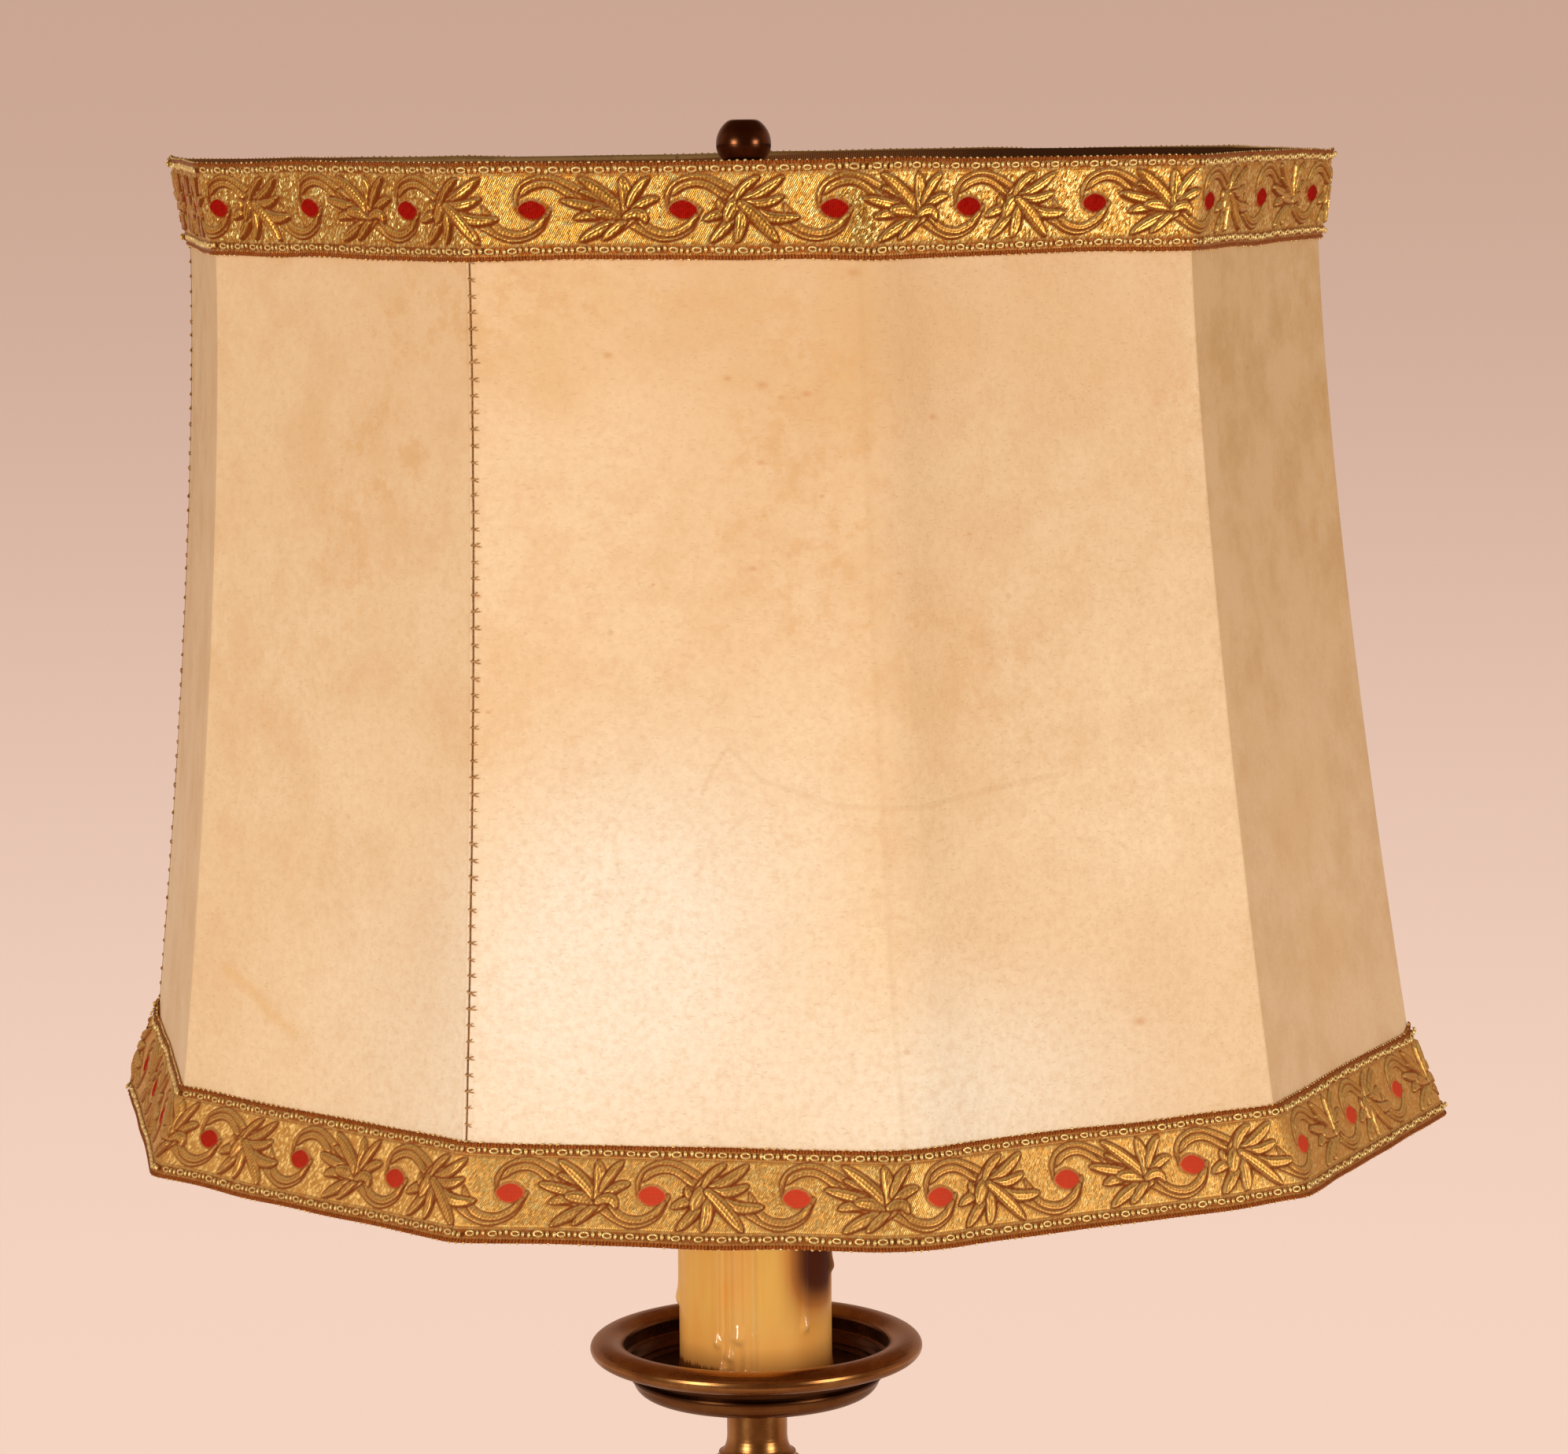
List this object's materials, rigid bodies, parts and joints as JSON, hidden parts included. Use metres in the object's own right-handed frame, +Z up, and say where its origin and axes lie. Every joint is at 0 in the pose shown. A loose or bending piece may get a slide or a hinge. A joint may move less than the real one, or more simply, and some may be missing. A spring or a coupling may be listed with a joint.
{
  "type": "candle lamp with shade",
  "caption": "Table lamp in the form of a turned bronze candlestick with a thick candle sleeve, drip pan, parchment shade with brocade trims and a ball finial.",
  "frame": {"origin": "middle of the foot's underside, on the table", "axes": "+Z up along the lamp's axis, -Y towards the front that the picture shows, +X to its right"},
  "size_m": [0.499, 0.4964, 0.885],
  "materials": {
    "dark_bronze": "aged bronze patina, rubbed brown on the edges",
    "brass": "dull lacquered brass",
    "finial_bronze": "near-black polished bronze",
    "cast_iron": "raw casting",
    "steel": "plain zinc-plated",
    "felt": "green felt",
    "frame_wire": "gold-painted steel wire",
    "candle": "honey-coloured wax look, glossy, with drips",
    "porcelain": "white glazed",
    "black_plastic": "moulded black",
    "bulb_metal": "rolled screw cap",
    "bulb_glass": "frosted white",
    "parchment": "mottled goatskin parchment, half see-through",
    "lacing": "brown waxed thread",
    "brocade": "gold metal-thread brocade with red dots",
    "binding": "brown ribbed binding tape"
  },
  "bodies": {
    "lamp": {"foot": "dark_bronze", "foot_ballast": "cast_iron", "base_plate": "steel", "felt_pad": "felt", "inlet_bush": "brass", "column": "dark_bronze", "knop": "dark_bronze", "vase": "dark_bronze", "neck": "dark_bronze", "drip_pan": "dark_bronze", "candle_seat": "brass", "candle_sleeve": "candle", "candle_cap": "dark_bronze", "tie_rod": "steel", "bottom_washer": "steel", "bottom_nut": "steel", "cluster_body": "brass", "arm_left": "brass", "arm_right": "brass", "holder_cap_left": "brass", "holder_cap_right": "brass", "holder_shell_left": "brass", "holder_shell_right": "brass", "holder_core_left": "porcelain", "holder_core_right": "porcelain", "screw_shell_left": "brass", "screw_shell_right": "brass", "carrier_rod": "brass", "support_nut": "brass"},
    "hub_bush": {"hub_bush": "brass"},
    "shade": {"spider": "frame_wire", "top_ring": "frame_wire", "bottom_ring": "frame_wire", "frame_ribs": "frame_wire", "skin_left": "parchment", "skin_front": "parchment", "skin_back": "parchment", "seam_lacing": "lacing", "upper_trim": "brocade", "lower_trim": "brocade", "top_tape": "binding", "bottom_tape": "binding"},
    "finial_washer": {"finial_washer": "finial_bronze"},
    "finial_ball": {"finial_ball": "finial_bronze"},
    "bulb_left": {"bulb_cap_left": "bulb_metal", "bulb_glass_left": "bulb_glass"},
    "bulb_right": {"bulb_cap_right": "bulb_metal", "bulb_glass_right": "bulb_glass"},
    "key_left": {"turn_key_left": "black_plastic"},
    "key_right": {"turn_key_right": "black_plastic"}
  },
  "joints": [
    {"name": "shade_turn", "type": "hinge", "parent": "lamp", "child": "hub_bush", "pos_m": [0, 0, 0.861], "axis": [0, 0, 1], "continuous": true},
    {"name": "shade_lift", "type": "slide", "parent": "hub_bush", "child": "shade", "axis": [0, 0, 1], "range_m": [0, 0.06]},
    {"name": "finial_rise", "type": "slide", "parent": "shade", "child": "finial_washer", "axis": [0, 0, 1], "range_m": [0, 0.012]},
    {"name": "finial_turn", "type": "hinge", "parent": "finial_washer", "child": "finial_ball", "pos_m": [0, 0, 0.876], "axis": [0, 0, 1], "range_deg": [0, 2880]},
    {"name": "bulb_left_turn", "type": "hinge", "parent": "lamp", "child": "bulb_left", "pos_m": [-0.046, 0, 0.7], "axis": [0, 0, 1], "range_deg": [0, 1080]},
    {"name": "bulb_right_turn", "type": "hinge", "parent": "lamp", "child": "bulb_right", "pos_m": [0.046, 0, 0.7], "axis": [0, 0, 1], "range_deg": [0, 1080]},
    {"name": "key_left_turn", "type": "hinge", "parent": "lamp", "child": "key_left", "pos_m": [-0.046, 0, 0.668], "axis": [-1, 0, 0], "continuous": true},
    {"name": "key_right_turn", "type": "hinge", "parent": "lamp", "child": "key_right", "pos_m": [0.046, 0, 0.668], "axis": [1, 0, 0], "continuous": true}
  ],
  "couplings": [
    {"joint": "finial_rise", "follows": "finial_turn", "m_per_rad": 0.0002387}
  ]
}
